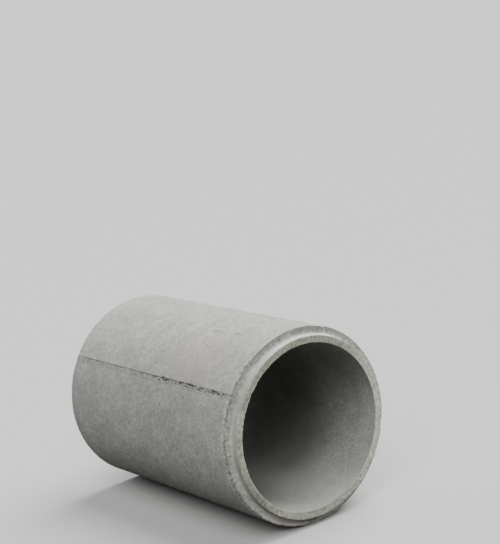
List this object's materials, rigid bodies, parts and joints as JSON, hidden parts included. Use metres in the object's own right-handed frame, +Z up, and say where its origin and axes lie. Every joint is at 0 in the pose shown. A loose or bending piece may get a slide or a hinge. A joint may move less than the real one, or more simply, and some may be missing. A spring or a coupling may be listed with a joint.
{
  "type": "concrete sewer pipe",
  "caption": "Round concrete sewer pipe with a thick wall and a smooth bore, a tapered tongue at one end and a matching groove at the other, lying on its side.",
  "frame": {"origin": "on the ground under the middle of the overall length, straight below the bore's axis", "axes": "+Y along the bore from the tongue end to the groove end, +Z up, +X across the pipe"},
  "size_m": [0.7139, 1.029, 0.714],
  "materials": {
    "concrete": "rough"
  },
  "bodies": {
    "root": {"concrete_pipe": "concrete"}
  },
  "joints": []
}
